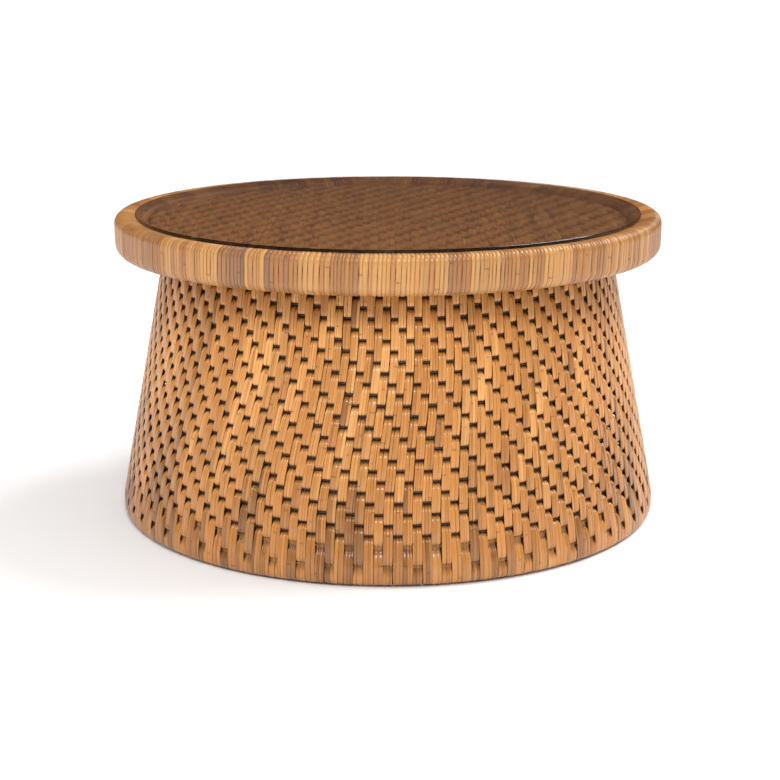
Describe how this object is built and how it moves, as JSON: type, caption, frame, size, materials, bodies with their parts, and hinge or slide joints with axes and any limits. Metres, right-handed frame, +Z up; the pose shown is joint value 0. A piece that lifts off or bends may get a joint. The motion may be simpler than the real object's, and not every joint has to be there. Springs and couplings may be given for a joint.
{
  "type": "wicker coffee table",
  "caption": "Round coffee table: conical twill-woven rattan drum, cane-wrapped rim, woven mat top under a loose lift-out glass disc.",
  "frame": {"origin": "on the floor, at the table's vertical axis", "axes": "+Z up along the table's axis; +X and +Y level, the table being round"},
  "size_m": [0.7999, 0.8, 0.4445],
  "materials": {
    "glass": "clear float glass, ground edge, faint bronze cast",
    "clear_pad": "clear soft bumper pad",
    "woven_mat": "fine twill rattan mat, satin",
    "plywood": "raw plywood",
    "cane_binding": "satin cane binding",
    "rattan_peel": "glossy natural rattan peel, honey tan",
    "weft_reed": "satin round reed",
    "flat_reed": "satin flat reed",
    "cane_lashing": "satin peel lashing",
    "rattan_pole": "skinned rattan pole, satin",
    "steel": "bright zinc plate",
    "screw_steel": "yellow zinc plate",
    "brass": "dull brass",
    "glide_plastic": "black moulded glide"
  },
  "bodies": {
    "table": {"glass_pads": "clear_pad", "top_mat": "woven_mat", "top_board": "plywood", "rim_wrap": "cane_binding", "rim_pole_upper_outer": "rattan_pole", "rim_pole_upper_inner": "rattan_pole", "rim_pole_lower_outer": "rattan_pole", "rim_pole_lower_inner": "rattan_pole", "rim_nails": "steel", "rim_brackets": "steel", "bracket_screws": "steel", "top_hoop": "rattan_pole", "middle_hoop": "rattan_pole", "bottom_hoop": "rattan_pole", "post_1": "rattan_pole", "post_2": "rattan_pole", "post_3": "rattan_pole", "post_4": "rattan_pole", "post_5": "rattan_pole", "post_6": "rattan_pole", "post_7": "rattan_pole", "post_8": "rattan_pole", "brace_long": "rattan_pole", "brace_left": "rattan_pole", "brace_right": "rattan_pole", "board_screws": "screw_steel", "post_screws": "screw_steel", "brace_screws": "screw_steel", "hoop_nails": "steel", "hoop_lashings": "cane_lashing", "side_weave": "rattan_peel", "weft_reeds": "weft_reed", "top_cover_strip": "flat_reed", "bottom_cover_strip": "flat_reed", "cover_strip_tacks": "brass", "floor_glides": "glide_plastic", "glide_nails": "steel"},
    "glass": {"glass_top": "glass"}
  },
  "joints": [
    {"name": "glass_lift", "type": "slide", "parent": "table", "child": "glass", "axis": [0, 0, 1], "range_m": [0, 0.06]}
  ]
}
